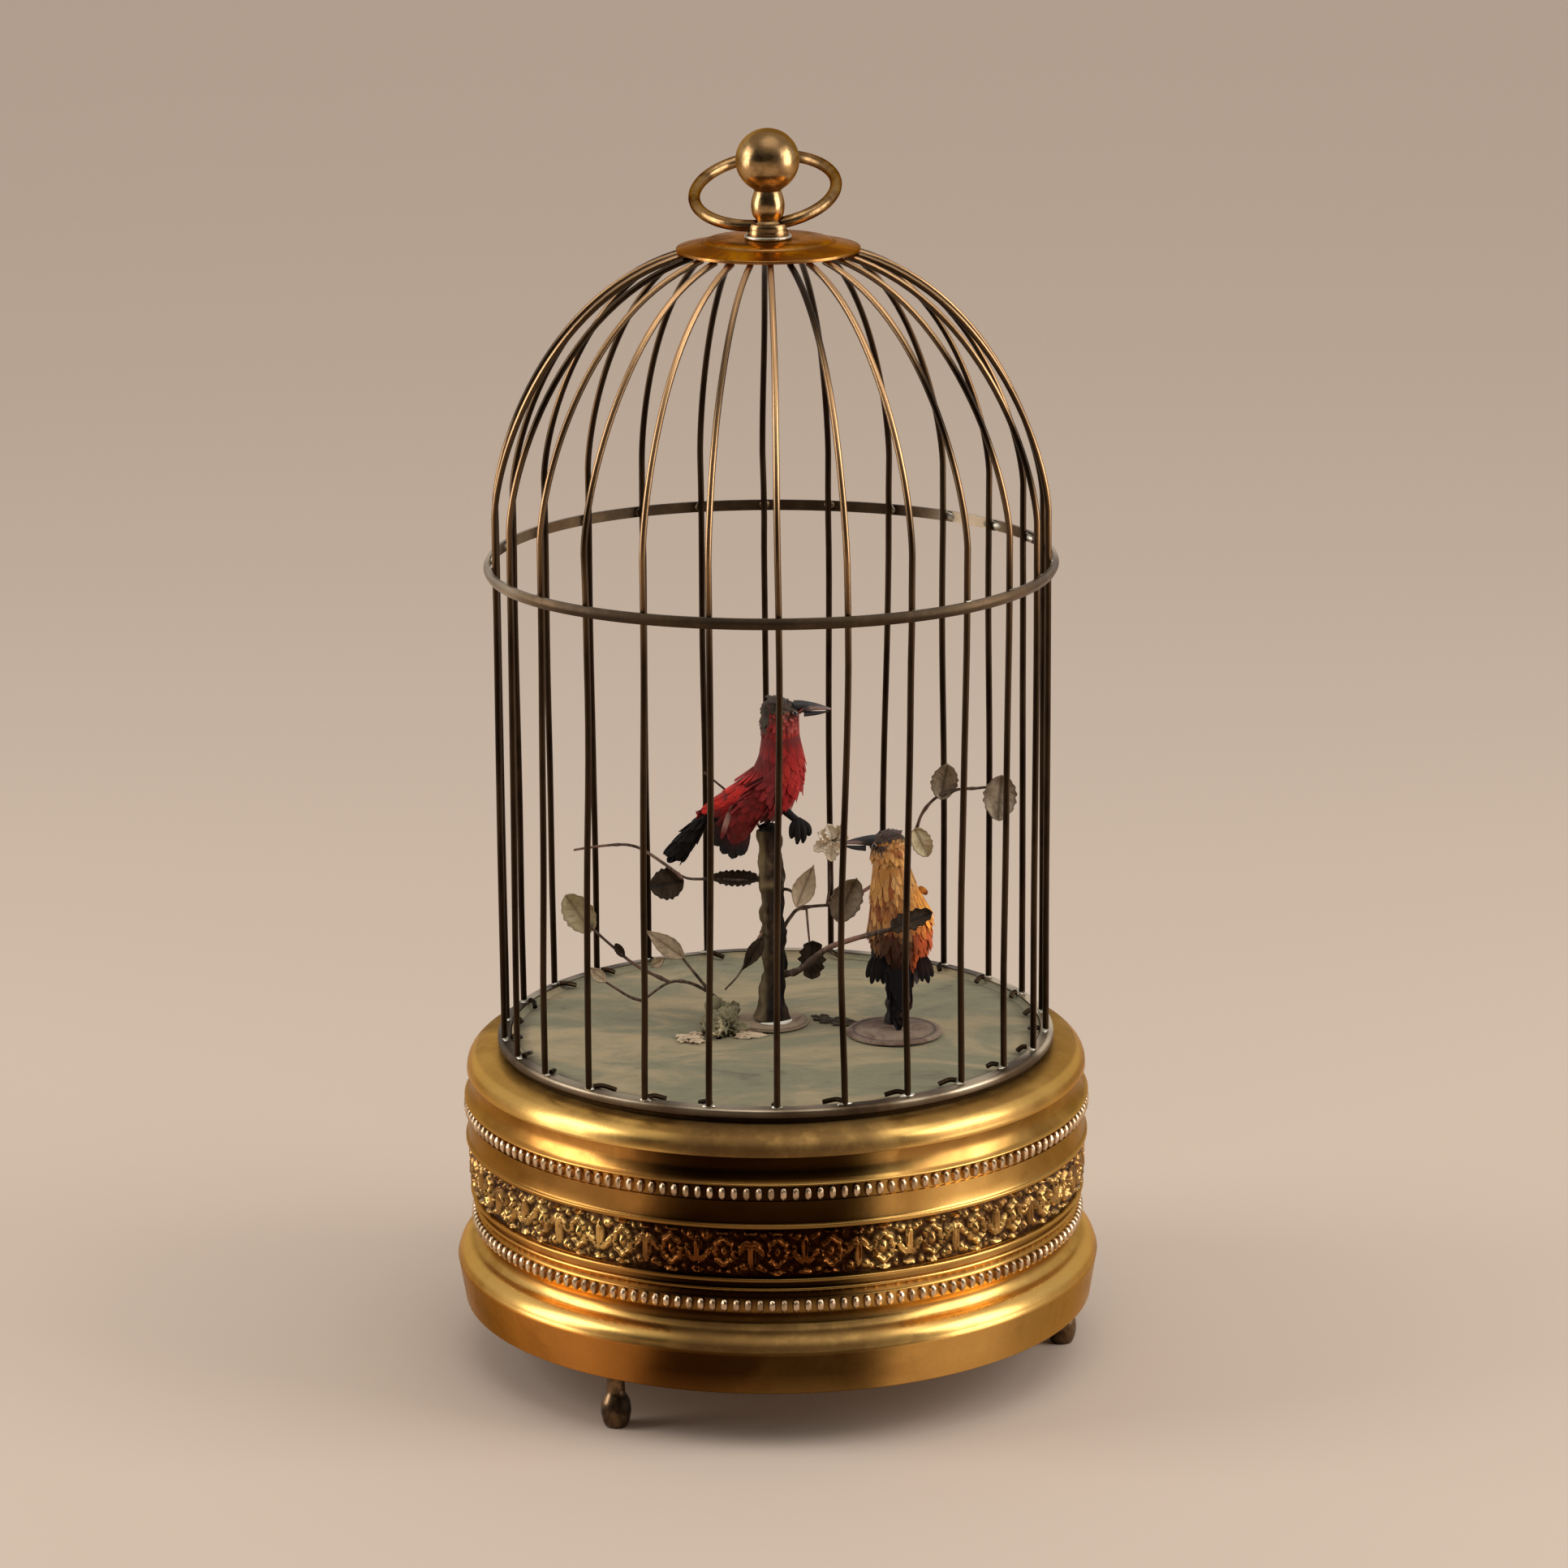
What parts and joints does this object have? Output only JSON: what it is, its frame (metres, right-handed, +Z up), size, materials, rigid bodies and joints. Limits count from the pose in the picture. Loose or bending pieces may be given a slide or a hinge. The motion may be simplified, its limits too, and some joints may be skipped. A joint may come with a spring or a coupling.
{
  "type": "singing bird automaton",
  "caption": "Wind-up singing bird automaton: feathered birds that turn, open their beaks and flick their tails in a domed wire cage on a round moulded brass base with a wind-up movement.",
  "frame": {"origin": "on the table under the middle of the drum", "axes": "+Z up the cage to the finial, -Y towards the viewer in the picture"},
  "size_m": [0.146, 0.146, 0.279],
  "materials": {
    "aged_brass": "aged polished brass",
    "dark_brass": "dark tarnished brass",
    "copper_brass": "coppery tarnished brass",
    "cage_wire": "dark tarnished brass wire",
    "movement_steel": "plain bright steel",
    "bark": "rough dark bark",
    "dried_leaf": "faded stiffened cloth",
    "faded_green": "matt faded grey-green paint",
    "painted_rust": "matt red-brown paint",
    "crimson_feather": "crimson feathers",
    "orange_feather": "rust-orange feathers",
    "black_feather": "black feathers",
    "black_horn": "black painted beak",
    "bellows_leather": "thin brown leather"
  },
  "bodies": {
    "cage_and_base": {"base_drum": "aged_brass", "base_plate": "aged_brass", "bellows": "bellows_leather", "bird_post": "bark", "cage_bar_01": "cage_wire", "cage_bar_02": "cage_wire", "cage_bar_03": "cage_wire", "cage_bar_04": "cage_wire", "cage_bar_05": "cage_wire", "cage_bar_06": "cage_wire", "cage_bar_07": "cage_wire", "cage_bar_08": "cage_wire", "cage_bar_09": "cage_wire", "cage_bar_10": "cage_wire", "cage_bar_11": "cage_wire", "cage_bar_12": "cage_wire", "cage_bar_13": "cage_wire", "cage_bar_14": "cage_wire", "cage_bar_15": "cage_wire", "cage_bar_16": "cage_wire", "cage_bar_17": "cage_wire", "cage_bar_18": "cage_wire", "cage_bar_19": "cage_wire", "cage_bar_20": "cage_wire", "cage_bar_21": "cage_wire", "cage_bar_22": "cage_wire", "cage_bar_23": "cage_wire", "cage_bar_24": "cage_wire", "cage_bar_25": "cage_wire", "cage_bar_26": "cage_wire", "cage_cap": "copper_brass", "cage_foot_ring": "aged_brass", "cage_hoop": "dark_brass", "finial": "aged_brass", "floor_board": "faded_green", "floor_shrub": "dried_leaf", "foot_1": "dark_brass", "foot_2": "dark_brass", "foot_3": "dark_brass", "movement_frame": "aged_brass", "orange_bird_body": "orange_feather", "post_base_disc": "painted_rust", "red_bird_body": "crimson_feather", "tree_trunk": "bark", "trunk_base_disc": "painted_rust", "whistle": "aged_brass"},
    "hanging_ring": {"hanging_ring": "aged_brass"},
    "winding_key": {"winding_key": "aged_brass"},
    "stop_lever": {"stop_lever": "aged_brass"},
    "red_bird_head": {"red_bird_head": "crimson_feather"},
    "red_bird_beak": {"red_bird_beak": "black_horn"},
    "red_bird_tail": {"red_bird_tail": "black_feather"},
    "orange_bird_head": {"orange_bird_head": "orange_feather"},
    "orange_bird_beak": {"orange_bird_beak": "black_horn"},
    "orange_bird_tail": {"orange_bird_tail": "black_feather"},
    "spring_barrel": {"spring_barrel": "aged_brass"},
    "cam_arbor": {"cam_arbor": "movement_steel"},
    "crank_arbor": {"crank_arbor": "movement_steel"},
    "fly_governor": {"fly_governor": "movement_steel"},
    "whistle_piston": {"whistle_piston": "movement_steel"}
  },
  "joints": [
    {"name": "ring_swing", "type": "hinge", "parent": "cage_and_base", "child": "hanging_ring", "pos_m": [0, 0, 0.25774], "axis": [1, 0, 0], "range_deg": [-18, 135]},
    {"name": "key_turn", "type": "hinge", "parent": "cage_and_base", "child": "winding_key", "pos_m": [-0.024, 0, 0], "axis": [0, 0, 1], "continuous": true},
    {"name": "stop_lever_swing", "type": "hinge", "parent": "cage_and_base", "child": "stop_lever", "pos_m": [0, 0.042, 0], "axis": [0, 0, 1], "range_deg": [0, 20]},
    {"name": "red_head_turn", "type": "hinge", "parent": "cage_and_base", "child": "red_bird_head", "pos_m": [0.00169, 0.00511, 0.1424], "axis": [0, 0, 1], "range_deg": [-25, 25]},
    {"name": "red_beak_open", "type": "hinge", "parent": "red_bird_head", "child": "red_bird_beak", "pos_m": [0.00699, 0.00511, 0.1467], "axis": [0, 1, 0], "range_deg": [0, 18]},
    {"name": "red_tail_flick", "type": "hinge", "parent": "cage_and_base", "child": "red_bird_tail", "pos_m": [-0.01506, 0.00511, 0.12326], "axis": [0, 1, 0], "range_deg": [-6, 8]},
    {"name": "orange_head_turn", "type": "hinge", "parent": "cage_and_base", "child": "orange_bird_head", "pos_m": [0.0262, 0.0015, 0.113], "axis": [0, 0, 1], "range_deg": [-22, 22]},
    {"name": "orange_beak_open", "type": "hinge", "parent": "orange_bird_head", "child": "orange_bird_beak", "pos_m": [0.0207, 0.0015, 0.1162], "axis": [0, -1, 0], "range_deg": [0, 18]},
    {"name": "orange_tail_flick", "type": "hinge", "parent": "cage_and_base", "child": "orange_bird_tail", "pos_m": [0.028, -0.0034, 0.0884], "axis": [1, 0, 0], "range_deg": [-12, 2]},
    {"name": "barrel_turn", "type": "hinge", "parent": "cage_and_base", "child": "spring_barrel", "pos_m": [-0.024, 0, 0], "axis": [0, 0, 1], "continuous": true},
    {"name": "cam_turn", "type": "hinge", "parent": "cage_and_base", "child": "cam_arbor", "pos_m": [0.004, 0, 0], "axis": [0, 0, 1], "continuous": true},
    {"name": "crank_turn", "type": "hinge", "parent": "cage_and_base", "child": "crank_arbor", "pos_m": [0.012, -0.01386, 0], "axis": [0, 0, 1], "continuous": true},
    {"name": "fly_spin", "type": "hinge", "parent": "cage_and_base", "child": "fly_governor", "pos_m": [0.02326, -0.02036, 0], "axis": [0, 0, 1], "continuous": true},
    {"name": "piston_slide", "type": "slide", "parent": "cage_and_base", "child": "whistle_piston", "axis": [1, 0, 0], "range_m": [0, 0.006]}
  ],
  "couplings": [
    {"joint": "cam_turn", "follows": "barrel_turn", "ratio": -4},
    {"joint": "crank_turn", "follows": "barrel_turn", "ratio": 16},
    {"joint": "fly_spin", "follows": "barrel_turn", "ratio": -64}
  ]
}
